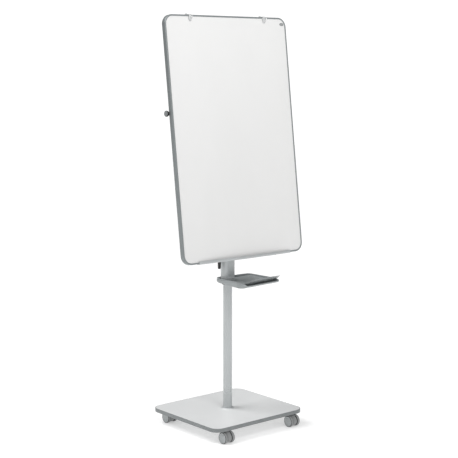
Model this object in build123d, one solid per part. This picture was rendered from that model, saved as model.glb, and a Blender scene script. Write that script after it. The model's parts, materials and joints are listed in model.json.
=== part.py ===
from build123d import *
import os
from math import cos, radians, sin, sqrt

# Mobile flipchart easel: a castored base, a telescoping column, a tilting whiteboard with
# pad hooks and pen ledge, and a swivelling accessory tray.
# Millimetres, +Z up, writing side towards -Y.  Origin: on the floor, on the column's axis.

# ---- clearances -------------------------------------------------------------------------
run_fit = 0.05          # radial clearance of a shaft, pin or slide in its bearing
seat_gap = 0.05         # glue or press gap between pieces of one assembly
free_gap = 0.3          # gap between moving neighbours that must not rub
over = 1.0              # how far a cutting shape runs past the face that it cuts

# ---- base -------------------------------------------------------------------------------
base_width = 514.0      # X
base_depth = 462.0      # Y
base_thickness = 17.0
base_corner_r = 45.0
band_thickness = 2.5    # edge band round the board
band_edge_r = 1.0
castor_headroom = 4.5   # wheel to the underside of the base
castor_from_side = 67.0     # swivel stem to the base's side
castor_from_front = 30.3    # swivel stem to the base's front or back

# ---- column -----------------------------------------------------------------------------
column_r = 20.0
column_wall = 2.0
column_top = 1165.0
foot_ring_width = 11.0
foot_ring_height = 2.5
foot_plug_height = 35.0
foot_thread_r = 6.0
foot_hole_gap = 0.5     # round the bolt, in the plate, spreader and washer
bolt_end_gap = 5.0      # plug's top to the bolt's end
spreader_size = 120.0
spreader_corner_r = 8.0
spreader_thickness = 4.0
spreader_screw_inset = 12.0
bolt_across_flats = 19.0
bolt_head_height = 7.5
washer_r = 15.0
washer_thickness = 2.5
wood_screw_r = 2.5
wood_screw_length = 14.0
wood_screw_head_height = 2.0
guide_cap_bore_r = 10.0

# ---- castors ----------------------------------------------------------------------------
castor_trail = 20.0     # wheel axle behind the swivel axis
wheel_r = 25.0
wheel_width = 16.0
wheel_edge_r = 2.0
tread_width = 4.0       # rim round the wheel's recessed face
face_recess = 1.0
disc_inset = 9.0        # wheel's edge to its raised middle disc
disc_root = 1.5
disc_recess = 0.2
hood_width = 20.0
hood_inset = 2.5        # hood's edge inside the wheels' treads
hood_neck_wall = 4.0    # round the stem
wheel_side_gap = 0.5    # between the hood and each wheel
axle_r = 4.0
axle_end_gap = 4.0      # axle's end to the wheel's outer face
stem_r = 5.5
stem_flange_r = 11.0
stem_flange_height = 3.5
stem_thread_r = 5.0
stem_thread_length = 12.0
stem_pin_length = 24.0

# ---- upper tube -------------------------------------------------------------------------
bush_side_wall = 8.0    # bush between the column and the tube, along X
bush_front_wall = 2.0   # the same, along Y
sleeve_wall = 2.0
sleeve_corner_r = 18.0
sleeve_bottom = 671.0
sleeve_top = 1368.0
bush_length = 40.0
bush_flange = 4.0

# ---- height clamp, on the left of the upper tube ----------------------------------------
clamp_z = 752.0
clamp_boss_r = 11.0
clamp_boss_length = 8.0
clamp_boss_edge_r = 1.5
clamp_washer_length = 2.0
clamp_hub_r = 9.0
clamp_hub_length = 13.0
clamp_stud_r = 4.0
clamp_shoe_r = 7.0
lever_length = 42.0     # clamp axis to the lever's tip
lever_width = 11.0
lever_thickness = 8.0
lever_offset = 1.5      # lever's blade to the hub's middle
stud_end_wall = 3.0     # of the hub, over the stud's end

# ---- tray -------------------------------------------------------------------------------
tray_turn = 5.5         # degrees that the tray is swung about the column
spigot_wall = 4.0
spigot_length = 29.0    # below the bush flange
clip_ring_width = 3.0
clip_ring_height = 4.7
clip_ring_edge_r = 1.0
hub_wall = 4.0
tray_left = -70.0       # tray base outline, before it is swung
tray_right = 186.0
tray_right_back = 172.0
tray_front = -148.0
tray_beside_hub = 30.0  # hub to the left side, at the back
tray_behind_hub = 6.0
tray_corner_radii = (40.0, 25.0, 14.0, 22.0)    # back left, back right, front right, front left
tray_rim_z = 666.0      # rim of the base at its back left corner
tray_fall_right = 0.035     # the rim falls to the right and to the front, mm per mm
tray_fall_front = 0.025
tray_under_back_z = 651.0
tray_under_front_z = 640.5
tray_front_wall_z = 648.0
tray_wall = 3.0
tray_step = 7.0         # width of the base's side walls, on which the dish's rim rests
tray_screw_inset = 30.0
dish_wall = 2.0
dish_rim_height = 4.0
dish_rim_overlap = 4.5
lip_rise = 17.5         # height of the flared lip over the plane of the tray's rim
lip_reach = 8.0         # how far the lip's edge stands out past the tray's front
lip_foot = 30.0         # where the lip leaves the dish's floor, behind the tray's front
lip_taper_start = 48.0  # the lip's left end, beside the tray's left side
lip_taper_length = 60.0
tray_reach = 400.0      # longer than the tray: half length of the shapes that trim it

# ---- tilt head and shaft ----------------------------------------------------------------
axis_above_sleeve = 32.0
tilt_rest = 7.0         # degrees that the board leans back
shaft_r = 5.0
ear_wall = 3.5
ear_step = 0.5          # ear's round end in front of its flat face
ear_inner_x = 14.0
ear_thickness = 8.0
head_plug_length = 40.0
head_flange = 6.0
head_flange_edge_r = 1.5
head_back_y = 10.0
head_screw_x = 10.0
nut_length = 8.0
nut_wall = 2.5
knob_r = 12.5
knob_grip_length = 4.5
knob_cap_r = 13.0
knob_cap_thickness = 4.5
knob_cap_edge_r = 2.5
knob_neck_wall = 3.0
knob_neck_length = 14.0
knob_side_gap = 1.0     # between the board's edge and the knob

# ---- board, measured about the tilt axis: front towards -Y, up the board +Z ---------------
board_width = 680.0
board_height = 1050.0
board_thickness = 22.0
board_corner_r = 42.0
board_ear_gap = 0.5     # ears to the back of the board
axis_above_centre = 114.0
frame_wall = 2.0
frame_lip = 7.0
frame_edge_r = 2.5
sheet_thickness = 0.6
badge_length = 24.0
badge_height = 14.0
badge_thickness = 0.8
badge_from_side = 24.0
badge_from_top = 30.0
support_from_side = 21.0    # shaft support to the board's left edge
support_width = 14.0
support_plate_half = 30.0
fitting_plate = 3.0     # plates of the fittings on the board's back
pivot_plate_half = 40.0
pivot_plate_bottom = 12.0
pivot_plate_top = 60.0
pivot_neck_back = 4.0
pivot_neck_top = 40.0
pivot_screw_x = 30.0
pivot_screw_heights = (22.0, 50.0)
support_screw_z = 22.0
screw_r = 2.0
screw_head_r = 4.0
screw_head_height = 2.2
screw_length = 10.0
ledge_length = 522.0
ledge_bow = 14.0        # how far the ledge's lip stands out at the middle
ledge_end_depth = 3.0
ledge_height = 13.0
ledge_wall = 2.5
ledge_foot = 15.0       # the part under the frame
ledge_screw_from_end = 81.0

# ---- pad hooks --------------------------------------------------------------------------
hook_left_x = -205.0
hook_right_x = 210.0
hook_width = 14.0
hook_strap = 2.2
hook_front_drop = 27.0
hook_back_drop = 14.0
hook_tab_height = 5.0
hook_tab_depth = 8.2
hook_tab_width = 6.3
hook_foot_r = 5.88      # rounding of the strap's lower end
peg_root_r = 4.5        # shoulder of the peg, in front of the strap
peg_root_length = 4.5
peg_tip_r = 1.0
peg_r = 3.0
peg_length = 22.0
peg_rise = 35.0         # degrees

# ---- derived ----------------------------------------------------------------------------
castor_height = 2 * wheel_r + castor_headroom       # floor to the underside of the base
base_top = castor_height + base_thickness
castor_x = base_width / 2 - castor_from_side
castor_y = base_depth / 2 - castor_from_front
hood_r = wheel_r - hood_inset
foot_ring_r = column_r + foot_ring_width
sleeve_width = 2 * (column_r + bush_side_wall + sleeve_wall)        # X
sleeve_depth = 2 * (column_r + bush_front_wall + sleeve_wall)       # Y
spigot_r = column_r + spigot_wall
clip_ring_r = spigot_r + clip_ring_width
hub_r = spigot_r + hub_wall
bush_bottom = sleeve_bottom - bush_flange
spigot_bottom = bush_bottom - spigot_length
hub_top = bush_bottom - free_gap
hub_bottom = spigot_bottom + clip_ring_height + free_gap
tray_left_back = -hub_r - tray_beside_hub
tray_back = hub_r + tray_behind_hub
lip_foot_y = tray_front + lip_foot
ear_r = shaft_r + ear_wall
tilt_axis_y = ear_r - ear_step - sleeve_depth / 2
tilt_axis_z = sleeve_top + axis_above_sleeve
nut_across_flats = 2 * (shaft_r + nut_wall)
knob_neck_r = shaft_r + knob_neck_wall
board_back = -ear_r - board_ear_gap
board_front = board_back - board_thickness
board_top = board_height / 2 - axis_above_centre
board_bottom = board_top - board_height
left_edge = -board_width / 2
support_x = left_edge + support_from_side
pocket_front = board_front + frame_wall
pocket_back = board_back - frame_wall
shaft_right = ear_inner_x + ear_thickness + nut_length
knob_back_x = left_edge - knob_side_gap
knob_face_x = knob_back_x - knob_grip_length
plate_back = board_back + fitting_plate

os.makedirs("parts", exist_ok=True)


# ---- helpers ----------------------------------------------------------------------------
def save(name, shape):
    """Write one node, whether it is one solid or a group of them."""
    solids = shape.solids()
    export_step(solids[0] if len(solids) == 1 else Compound(children=list(solids)), f"parts/{name}.step")


def rod(radius, start, end):
    """A round bar between two points."""
    axis = Vector(*end) - Vector(*start)
    return Solid.make_cylinder(radius, axis.length, Plane(origin=start, z_dir=axis.normalized()))


def upright_box(x0, x1, y0, y1, z0, z1):
    """A box from its six faces."""
    size = (x1 - x0, y1 - y0, z1 - z0)
    return Pos((x0 + x1) / 2, (y0 + y1) / 2, (z0 + z1) / 2) * Box(*size)


def rounded_bar(width, depth, radius, z0, z1):
    """A rounded rectangle in plan, from z0 up to z1, about the column's axis."""
    return extrude(Pos(0, 0, z0) * RectangleRounded(width, depth, radius), z1 - z0)


def rounded_slab(width, height, radius, y_front, y_back):
    """A rounded rectangle that faces the board's reader, centred on the board."""
    plane = Plane(origin=(0, y_back, -axis_above_centre), x_dir=(1, 0, 0), z_dir=(0, -1, 0))
    return extrude(plane * RectangleRounded(width, height, radius), y_back - y_front)


def prism(points, plane, depth, both=False):
    """A straight-sided prism on a plane."""
    return extrude(plane * make_face(Polyline(*points, close=True)), depth, both=both)


def hexagon_bar(across_flats, start, length, z_dir):
    plane = Plane(origin=start, z_dir=z_dir)
    return extrude(plane * RegularPolygon(across_flats / sqrt(3), 6), length)


def screw(origin, direction):
    """A pan-head screw: the head's seat is at origin, the shank runs along direction."""
    way = Vector(*direction)
    seat = Vector(*origin)
    shank = rod(screw_r, tuple(seat - way * screw_head_height / 2), tuple(seat + way * screw_length))
    head = rod(screw_head_r, tuple(seat - way * screw_head_height), tuple(seat))
    return head + shank


def screw_hole(origin, direction):
    """The hole that such a screw fills, with its clearance."""
    seat = Vector(*origin)
    way = Vector(*direction)
    end = seat + way * (screw_length + seat_gap)
    return rod(screw_r + seat_gap, tuple(seat - way * screw_length), tuple(end))


# ---- base -------------------------------------------------------------------------------
castor_places = {
    "front_left": (-castor_x, -castor_y),
    "front_right": (castor_x, -castor_y),
    "rear_left": (-castor_x, castor_y),
    "rear_right": (castor_x, castor_y),
}


def make_base():
    inner_width = base_width - 2 * band_thickness
    inner_depth = base_depth - 2 * band_thickness
    inner_r = base_corner_r - band_thickness
    plate = rounded_bar(inner_width - 2 * seat_gap, inner_depth - 2 * seat_gap, inner_r - seat_gap,
                        castor_height, base_top)
    plate -= rod(foot_thread_r + foot_hole_gap, (0, 0, castor_height - over), (0, 0, base_top + over))
    for x, y in castor_places.values():
        plate -= rod(stem_thread_r + seat_gap, (x, y, castor_height - over),
                     (x, y, castor_height + stem_thread_length + seat_gap))
    for x, y in spreader_screw_places():
        plate -= rod(wood_screw_r + seat_gap, (x, y, castor_height - over),
                     (x, y, castor_height + wood_screw_length - spreader_thickness + seat_gap))
    save("base_plate", plate)

    band = rounded_bar(base_width, base_depth, base_corner_r, castor_height, base_top)
    outer_edges = band.faces().sort_by(Axis.Z)[-1].edges() + band.faces().sort_by(Axis.Z)[0].edges()
    band = fillet(outer_edges, band_edge_r)
    band -= rounded_bar(inner_width, inner_depth, inner_r, castor_height - over, base_top + over)
    save("base_edge_band", band)


def spreader_screw_places():
    offset = spreader_size / 2 - spreader_screw_inset
    return [(x, y) for x in (-offset, offset) for y in (-offset, offset)]


def make_foot():
    spreader_z = castor_height - spreader_thickness
    spreader = rounded_bar(spreader_size, spreader_size, spreader_corner_r, spreader_z, castor_height)
    spreader -= rod(foot_thread_r + foot_hole_gap, (0, 0, spreader_z - over), (0, 0, castor_height + over))
    screws = []
    for x, y in spreader_screw_places():
        spreader -= rod(wood_screw_r + seat_gap, (x, y, spreader_z - over), (x, y, castor_height + over))
        head = rod(wood_screw_r * 2, (x, y, spreader_z - wood_screw_head_height), (x, y, spreader_z))
        shank = rod(wood_screw_r, (x, y, spreader_z - over), (x, y, spreader_z + wood_screw_length))
        screws.append(head + shank)
    save("foot_spreader_plate", spreader)
    save("foot_spreader_screws", Compound(children=[s.solid() for s in screws]))

    washer_z = spreader_z - washer_thickness
    washer = rod(washer_r, (0, 0, washer_z), (0, 0, spreader_z))
    washer -= rod(foot_thread_r + foot_hole_gap, (0, 0, washer_z - over), (0, 0, spreader_z + over))
    save("foot_washer", washer)

    bolt = hexagon_bar(bolt_across_flats, (0, 0, washer_z - bolt_head_height), bolt_head_height, (0, 0, 1))
    bolt_end_z = base_top + foot_plug_height - bolt_end_gap
    bolt += rod(foot_thread_r - run_fit, (0, 0, washer_z - over), (0, 0, bolt_end_z))
    save("foot_bolt", bolt)

    plug = rod(column_r - column_wall - seat_gap, (0, 0, base_top), (0, 0, base_top + foot_plug_height))
    plug -= rod(foot_thread_r, (0, 0, base_top - over), (0, 0, base_top + foot_plug_height + over))
    save("column_foot_plug", plug)

    ring = rod(foot_ring_r, (0, 0, base_top), (0, 0, base_top + foot_ring_height))
    ring = chamfer(ring.edges().group_by(Axis.Z)[-1], foot_ring_height / 2)
    ring -= rod(column_r + seat_gap, (0, 0, base_top - over), (0, 0, base_top + foot_ring_height + over))
    save("column_foot_ring", ring)


def make_column():
    tube = rod(column_r, (0, 0, base_top), (0, 0, column_top))
    tube -= rod(column_r - column_wall, (0, 0, base_top - over), (0, 0, column_top + over))
    save("column_tube", tube)

    inside_width = sleeve_width - 2 * sleeve_wall - 2 * run_fit
    inside_depth = sleeve_depth - 2 * sleeve_wall - 2 * run_fit
    inside_r = sleeve_corner_r - sleeve_wall - run_fit
    cap_top = column_top + bush_flange
    cap = rounded_bar(inside_width, inside_depth, inside_r, column_top - bush_length, cap_top)
    cap -= rod(column_r + seat_gap, (0, 0, column_top - bush_length - over), (0, 0, column_top))
    cap -= rod(guide_cap_bore_r, (0, 0, column_top - over), (0, 0, cap_top + over))
    save("column_guide_cap", cap)


# ---- castors ----------------------------------------------------------------------------
def make_castor(name, x, y):
    axle_y = y - castor_trail
    hood_top = castor_height - stem_flange_height - free_gap
    pin_bottom = hood_top - stem_pin_length

    stem = rod(stem_flange_r, (x, y, castor_height - stem_flange_height), (x, y, castor_height))
    stem += rod(stem_thread_r, (x, y, castor_height - over), (x, y, castor_height + stem_thread_length))
    stem += rod(stem_r, (x, y, pin_bottom), (x, y, castor_height - over))
    save(f"castor_{name}_stem", stem)

    hood = rod(hood_r, (x - hood_width / 2, axle_y, wheel_r), (x + hood_width / 2, axle_y, wheel_r))
    neck_half = stem_r + hood_neck_wall
    neck = [
        (axle_y - hood_r * 0.55, hood_top - 4),
        (axle_y - hood_r * 0.2, hood_top),
        (y + neck_half, hood_top),
        (y + neck_half, pin_bottom - 2),
        (axle_y, wheel_r),
    ]
    side = Plane(origin=(x - hood_width / 2, 0, 0), x_dir=(0, 1, 0), z_dir=(1, 0, 0))
    hood += prism(neck, side, hood_width)
    hood -= rod(stem_r + run_fit, (x, y, pin_bottom - free_gap), (x, y, hood_top + over))
    hood -= rod(axle_r + seat_gap, (x - hood_width, axle_y, wheel_r), (x + hood_width, axle_y, wheel_r))
    save(f"castor_{name}_hood", hood)

    inner = hood_width / 2 + wheel_side_gap
    outer = inner + wheel_width
    axle_half = outer - axle_end_gap
    axle = rod(axle_r, (x - axle_half, axle_y, wheel_r), (x + axle_half, axle_y, wheel_r))
    save(f"castor_{name}_axle", axle)

    for side_name, sign in (("left", -1), ("right", 1)):
        def across(offset):
            return (x + sign * offset, axle_y, wheel_r)
        wheel = rod(wheel_r, across(inner), across(outer))
        rims = wheel.edges().filter_by(GeomType.CIRCLE)
        wheel = fillet(rims, wheel_edge_r)
        wheel -= rod(wheel_r - tread_width, across(outer - face_recess), across(outer + over))
        wheel += rod(wheel_r - disc_inset, across(outer - disc_root), across(outer - disc_recess))
        wheel -= rod(axle_r + run_fit, across(inner - over), across(axle_half + free_gap))
        save(f"castor_{name}_wheel_{side_name}", wheel)


# ---- upper tube, height clamp -----------------------------------------------------------
def make_upper_tube():
    inside_width = sleeve_width - 2 * sleeve_wall
    inside_depth = sleeve_depth - 2 * sleeve_wall
    inside_r = sleeve_corner_r - sleeve_wall
    tube = rounded_bar(sleeve_width, sleeve_depth, sleeve_corner_r, sleeve_bottom, sleeve_top)
    tube -= rounded_bar(inside_width, inside_depth, inside_r, sleeve_bottom - over, sleeve_top + over)
    tube -= rod(clamp_stud_r + run_fit, (-sleeve_width, 0, clamp_z), (0, 0, clamp_z))
    for seat, way in head_screw_places():
        tube -= screw_hole(seat, way)
    save("upper_tube", tube)

    bush = rounded_bar(inside_width - 2 * seat_gap, inside_depth - 2 * seat_gap, inside_r - seat_gap,
                       sleeve_bottom, sleeve_bottom + bush_length)
    bush += rounded_bar(sleeve_width, sleeve_depth, sleeve_corner_r, bush_bottom, sleeve_bottom)
    bush += rod(spigot_r, (0, 0, spigot_bottom), (0, 0, bush_bottom))
    bush -= rod(column_r + run_fit, (0, 0, spigot_bottom - over), (0, 0, sleeve_bottom + bush_length + over))
    save("mouth_bush", bush)

    clip = rod(clip_ring_r, (0, 0, spigot_bottom), (0, 0, spigot_bottom + clip_ring_height))
    clip = fillet(clip.edges().filter_by(GeomType.CIRCLE), clip_ring_edge_r)
    clip -= rod(spigot_r + seat_gap, (0, 0, spigot_bottom - over), (0, 0, bush_bottom))
    save("tray_retaining_ring", clip)


def make_height_clamp():
    tube_side = -sleeve_width / 2
    boss_end = tube_side - clamp_boss_length
    washer_end = boss_end - clamp_washer_length
    hub_end = washer_end - clamp_hub_length

    boss = rod(clamp_boss_r, (boss_end, 0, clamp_z), (tube_side, 0, clamp_z))
    boss = fillet(boss.edges().group_by(Axis.X)[0], clamp_boss_edge_r)
    boss -= rod(clamp_stud_r + run_fit, (boss_end - over, 0, clamp_z), (tube_side + over, 0, clamp_z))
    save("clamp_boss", boss)

    washer = rod(clamp_hub_r, (washer_end, 0, clamp_z), (boss_end, 0, clamp_z))
    washer -= rod(clamp_stud_r + run_fit, (washer_end - over, 0, clamp_z), (boss_end + over, 0, clamp_z))
    save("clamp_washer", washer)

    shoe_face = -column_r - free_gap
    shoe_back = tube_side + sleeve_wall + free_gap
    stud_tip = (shoe_face + shoe_back) / 2
    shoe = rod(clamp_shoe_r, (shoe_back, 0, clamp_z), (shoe_face, 0, clamp_z))
    shoe -= rod(clamp_stud_r + run_fit, (shoe_back - over, 0, clamp_z), (stud_tip + seat_gap, 0, clamp_z))
    save("clamp_shoe", shoe)
    stud_end = hub_end + stud_end_wall
    save("clamp_stud", rod(clamp_stud_r, (stud_end, 0, clamp_z), (stud_tip, 0, clamp_z)))

    hub_start = washer_end - seat_gap
    hub = rod(clamp_hub_r, (hub_end, 0, clamp_z), (hub_start, 0, clamp_z))
    blade_x = (hub_end + hub_start) / 2 - lever_offset
    tip_r = lever_width / 2
    tip_z = clamp_z - lever_length + tip_r
    outline = [
        (-clamp_hub_r * 0.85, clamp_z),
        (clamp_hub_r * 0.85, clamp_z),
        (tip_r, tip_z),
        (-tip_r, tip_z),
    ]
    side = Plane(origin=(blade_x - lever_thickness / 2, 0, 0), x_dir=(0, 1, 0), z_dir=(1, 0, 0))
    blade = prism(outline, side, lever_thickness)
    blade += rod(tip_r, (blade_x - lever_thickness / 2, 0, tip_z), (blade_x + lever_thickness / 2, 0, tip_z))
    lever = hub + blade
    lever -= rod(clamp_stud_r + seat_gap, (stud_end - seat_gap, 0, clamp_z), (0, 0, clamp_z))
    save("clamp_lever", lever)


# ---- tray -------------------------------------------------------------------------------
def tray_side(x_back, x_front, y):
    """Where a side that spreads towards the front lies at y."""
    return x_back + (x_front - x_back) * (tray_back - y) / (tray_back - tray_front)


def tray_outline(inset, front_extra=0.0):
    """The tray's plan: straight back and front, sides that spread towards the front."""
    back_y = tray_back - inset
    front_y = tray_front + inset - front_extra
    return [
        (tray_side(tray_left_back, tray_left, back_y) + inset, back_y),
        (tray_side(tray_right_back, tray_right, back_y) - inset, back_y),
        (tray_side(tray_right_back, tray_right, front_y) - inset, front_y),
        (tray_side(tray_left_back, tray_left, front_y) + inset, front_y),
    ]


def tray_block(inset, z0, z1, front_extra=0.0):
    """The tray's outline, moved inwards by inset, from z0 up to z1."""
    corners = tray_outline(inset, front_extra)
    block = prism(corners, Plane.XY.offset(z0), z1 - z0)
    for (x, y), radius in zip(corners, tray_corner_radii):
        corner = block.edges().filter_by(Axis.Z).sort_by_distance((x, y, (z0 + z1) / 2))[0]
        block = fillet(corner, radius - inset)
    return block


def tray_slope_z(y, offset=0.0):
    """Height of the tray's sloping underside at y, raised by offset."""
    slope = (tray_under_back_z - tray_under_front_z) / (tray_back - tray_front)
    return tray_under_back_z + offset + (y - tray_back) * slope


def beside_tray():
    """The plane of the tray's side profile: Y across, Z up."""
    return Plane(origin=(-tray_reach, 0, 0), x_dir=(0, 1, 0), z_dir=(1, 0, 0))


def above_underside(offset):
    """Everything above the tray's sloping underside, raised by offset."""
    outline = [
        (-tray_reach, tray_slope_z(-tray_reach, offset)),
        (tray_reach, tray_slope_z(tray_reach, offset)),
        (tray_reach, sleeve_top),
        (-tray_reach, sleeve_top),
    ]
    return prism(outline, beside_tray(), 2 * tray_reach)


def tray_rim_height(x, y, offset=0.0):
    """Height of the rim's plane at a place, raised by offset."""
    return tray_rim_z + offset - tray_fall_right * (x - tray_left_back) - tray_fall_front * (tray_back - y)


def under_rim(offset):
    """Everything below the plane of the tray's rim, raised by offset."""
    origin = (tray_left_back, tray_back, tray_rim_z + offset)
    plane = Plane(origin=origin, z_dir=(tray_fall_right, -tray_fall_front, 1))
    return extrude(plane * Rectangle(4 * tray_reach, 4 * tray_reach), -tray_reach)


def tray_swing(shape):
    return Rot(0, 0, tray_turn) * shape


def tray_screw_places():
    back_y = tray_back - tray_screw_inset
    front_y = tray_front + 2 * tray_screw_inset
    right_x = tray_right_back - tray_screw_inset
    return [(right_x, back_y), (right_x, front_y), (tray_left + tray_screw_inset, front_y)]


def make_tray_base():
    """A shell that is open upwards, with high sides, a low front wall and the hub."""
    low = tray_under_front_z - tray_wall
    shell = tray_block(0, low, tray_rim_z) & above_underside(0) & under_rim(0)
    pocket = tray_block(tray_step, low, tray_rim_z) & above_underside(tray_wall)
    scoop = tray_block(tray_step, tray_front_wall_z, tray_rim_z, front_extra=lip_foot)
    under_lip = upright_box(-tray_reach, tray_reach, -tray_reach, lip_foot_y, low, sleeve_top)
    base = shell - pocket - (scoop & under_lip)
    base += rod(hub_r, (0, 0, hub_bottom), (0, 0, hub_top))
    base -= rod(spigot_r + run_fit, (0, 0, hub_bottom - over), (0, 0, hub_top + over))
    for x, y in tray_screw_places():
        base -= rod(screw_r + seat_gap, (x, y, low), (x, y, tray_rim_z))
    save("tray_base", tray_swing(base))


def make_tray_dish():
    """A shallow dish whose rim rests on the base's sides and whose front flares out and up."""
    low = tray_under_front_z
    high = tray_rim_z + 2 * lip_rise
    inset = tray_step + free_gap
    rim_inset = tray_step - dish_rim_overlap
    floor_gap = tray_wall + free_gap
    foot_z = tray_slope_z(lip_foot_y, floor_gap)
    tip_y = tray_front - lip_reach
    tip_z = tray_rim_height(tray_left_back, tip_y, lip_rise)
    reach = tray_reach / 4

    def within(extra_front):
        """The space between the base's sides, and over them above their rim."""
        between = tray_block(inset, low, high, extra_front)
        above = tray_block(rim_inset, low, high, extra_front) - under_rim(seat_gap)
        return between + above

    behind_outline = [
        (lip_foot_y, 0),
        (lip_foot_y, foot_z),
        (tip_y, tip_z - dish_wall),
        (tip_y, sleeve_top),
        (tray_reach, sleeve_top),
        (tray_reach, 0),
    ]
    behind_lip = prism(behind_outline, beside_tray(), 2 * tray_reach)
    hollow = tray_block(inset + dish_wall, low, high, reach) & above_underside(floor_gap + dish_wall)
    well = rod(hub_r + free_gap + dish_wall, (0, 0, low), (0, 0, high))
    dish = within(0) & above_underside(floor_gap) & behind_lip & under_rim(dish_rim_height)
    dish -= hollow - well

    plate_y = lip_foot_y + dish_wall
    plate_z = tray_slope_z(plate_y, floor_gap)
    lip_profile = [
        (plate_y, plate_z),
        (lip_foot_y, foot_z),
        (tip_y, tip_z - dish_wall),
        (tip_y + dish_wall / 3, tip_z),
        (plate_y, plate_z + dish_wall),
    ]
    lip = prism(lip_profile, beside_tray(), 2 * tray_reach) & within(reach) & under_rim(lip_rise)
    dish += lip - above_lip_taper()
    dish -= rod(hub_r + free_gap, (0, 0, low - over), (0, 0, high))
    dish -= rod(sleeve_width / 2 + tray_wall, (0, 0, hub_top - free_gap), (0, 0, high))
    screws = []
    for x, y in tray_screw_places():
        seat_z = tray_slope_z(y, floor_gap + dish_wall) + screw_r / 3
        dish -= rod(screw_r + seat_gap, (x, y, low), (x, y, high))
        shank = rod(screw_r, (x, y, seat_z - dish_wall - tray_wall), (x, y, seat_z + over / 2))
        screws.append((shank + rod(screw_head_r, (x, y, seat_z), (x, y, seat_z + screw_head_height))).solid())
    save("tray_dish", tray_swing(dish))
    save("tray_screws", tray_swing(Compound(children=screws)))


def above_lip_taper():
    """What is trimmed off the lip's left end, so that the lip rises out of the rim."""
    start_x = tray_left + lip_taper_start
    end_x = start_x + lip_taper_length
    start_z = tray_rim_height(start_x, tray_front)
    end_z = tray_rim_height(end_x, tray_front, lip_rise)
    plane = Plane(origin=(0, lip_foot_y, 0), x_dir=(1, 0, 0), z_dir=(0, -1, 0))
    outline = [(-tray_reach, start_z), (start_x, start_z), (end_x, end_z), (end_x, sleeve_top),
               (-tray_reach, sleeve_top)]
    return prism(outline, plane, tray_reach)


# ---- tilt head, shaft and knob ----------------------------------------------------------
def head_screw_places():
    z = sleeve_top - head_plug_length / 2
    return [((sign * head_screw_x, sleeve_depth / 2, z), (0, -1, 0)) for sign in (-1, 1)]


def on_tilt_axis(x):
    return (x, tilt_axis_y, tilt_axis_z)


def make_tilt_head():
    skin = sleeve_wall + seat_gap
    head = rounded_bar(sleeve_width - 2 * skin, sleeve_depth - 2 * skin, sleeve_corner_r - skin,
                       sleeve_top - head_plug_length, sleeve_top)
    flange = rounded_bar(sleeve_width, sleeve_depth, sleeve_corner_r, sleeve_top, sleeve_top + head_flange)
    head += fillet(flange.faces().sort_by(Axis.Z)[-1].edges(), head_flange_edge_r)
    foot_z = sleeve_top + head_flange / 2
    front_y = tilt_axis_y - ear_r + ear_step
    for sign in (-1, 1):
        x0 = ear_inner_x if sign > 0 else -ear_inner_x - ear_thickness
        side = Plane(origin=(x0, 0, 0), x_dir=(0, 1, 0), z_dir=(1, 0, 0))
        outline = [
            (front_y, foot_z),
            (front_y, tilt_axis_z),
            (tilt_axis_y, tilt_axis_z + ear_r - seat_gap),
            (tilt_axis_y + ear_r * 0.8, tilt_axis_z + ear_r * 0.6 - seat_gap),
            (head_back_y, foot_z),
        ]
        ear = prism(outline, side, ear_thickness)
        ear += rod(ear_r, on_tilt_axis(x0), on_tilt_axis(x0 + ear_thickness))
        head += ear
    head -= rod(shaft_r + run_fit, on_tilt_axis(-sleeve_width), on_tilt_axis(sleeve_width))
    screws = []
    for seat, way in head_screw_places():
        head -= screw_hole(seat, way)
        screws.append(screw(seat, way).solid())
    save("tilt_head", head)
    save("head_screws", Compound(children=screws))

    nut_start = ear_inner_x + ear_thickness + seat_gap
    nut = hexagon_bar(nut_across_flats, on_tilt_axis(nut_start), nut_length, (1, 0, 0))
    nut -= rod(shaft_r + run_fit, on_tilt_axis(0), on_tilt_axis(sleeve_width))
    save("shaft_nut", nut)


def on_axis(x):
    return (x, 0, 0)


def board_pose(shape):
    """From the board's own frame, about the tilt axis, to the easel's frame at rest."""
    return Pos(0, tilt_axis_y, tilt_axis_z) * Rot(-tilt_rest, 0, 0) * shape


def save_on_board(name, shape):
    save(name, board_pose(shape))


def make_tilt_lock():
    save_on_board("tilt_shaft", rod(shaft_r, on_axis(knob_back_x), on_axis(shaft_right)))

    knob = rod(knob_r, on_axis(knob_face_x), on_axis(knob_back_x))
    knob += rod(knob_neck_r, on_axis(knob_back_x), on_axis(knob_back_x + knob_neck_length))
    knob -= rod(shaft_r + seat_gap, on_axis(knob_back_x), on_axis(0))
    save_on_board("tilt_knob", knob)

    cap = rod(knob_cap_r, on_axis(knob_face_x - knob_cap_thickness), on_axis(knob_face_x))
    cap = fillet(cap.edges().group_by(Axis.X)[0], knob_cap_edge_r)
    save_on_board("tilt_knob_cap", cap)


# ---- board ------------------------------------------------------------------------------
def board_screw_places():
    """Seats and directions of the screws in the board's back and under its frame."""
    forward = (0, -1, 0)
    places = []
    for z in pivot_screw_heights:
        places += [((sign * pivot_screw_x, plate_back, z), forward) for sign in (-1, 1)]
    places += [((support_x, plate_back, sign * support_screw_z), forward) for sign in (-1, 1)]
    end_x = ledge_length / 2 - ledge_screw_from_end
    seat_y = board_front + ledge_foot / 2 + frame_wall
    places += [((x, seat_y, board_bottom - ledge_wall), (0, 0, 1)) for x in (-end_x, 0, end_x)]
    return places


def drilled(shape):
    for seat, way in board_screw_places():
        shape -= screw_hole(seat, way)
    return shape


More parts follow.
